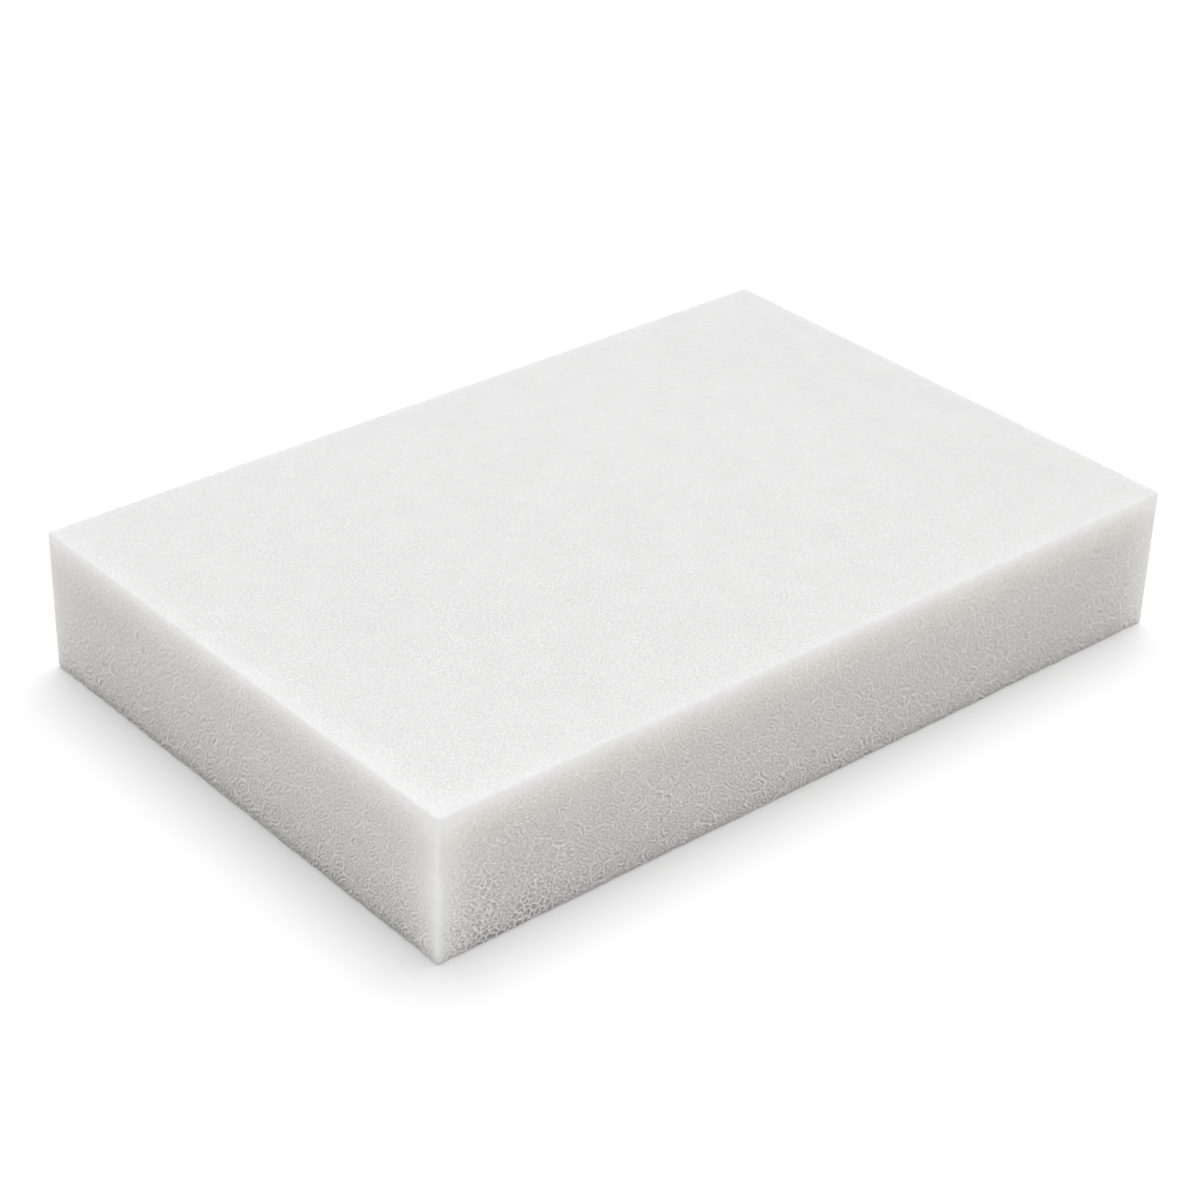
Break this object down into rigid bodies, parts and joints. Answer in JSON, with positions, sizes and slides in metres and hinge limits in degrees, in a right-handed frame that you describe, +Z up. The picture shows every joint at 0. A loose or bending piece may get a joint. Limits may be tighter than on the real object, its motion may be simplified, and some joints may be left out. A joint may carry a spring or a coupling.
{
  "type": "foam sheet",
  "caption": "Flat rectangular block of white cellular foam, cut square with lightly eased edges, lying on its broad face.",
  "frame": {"origin": "centre of the underside, on the surface that the sheet lies on", "axes": "+X along the 300 mm length, +Y across the 200 mm width, +Z up through the 50 mm thickness"},
  "size_m": [0.3, 0.2, 0.05],
  "materials": {
    "foam": "matt white cellular foam, slightly translucent, with a fine-celled face and coarser cells on the cut sides"
  },
  "bodies": {
    "root": {"foam_sheet": "foam"}
  },
  "joints": []
}
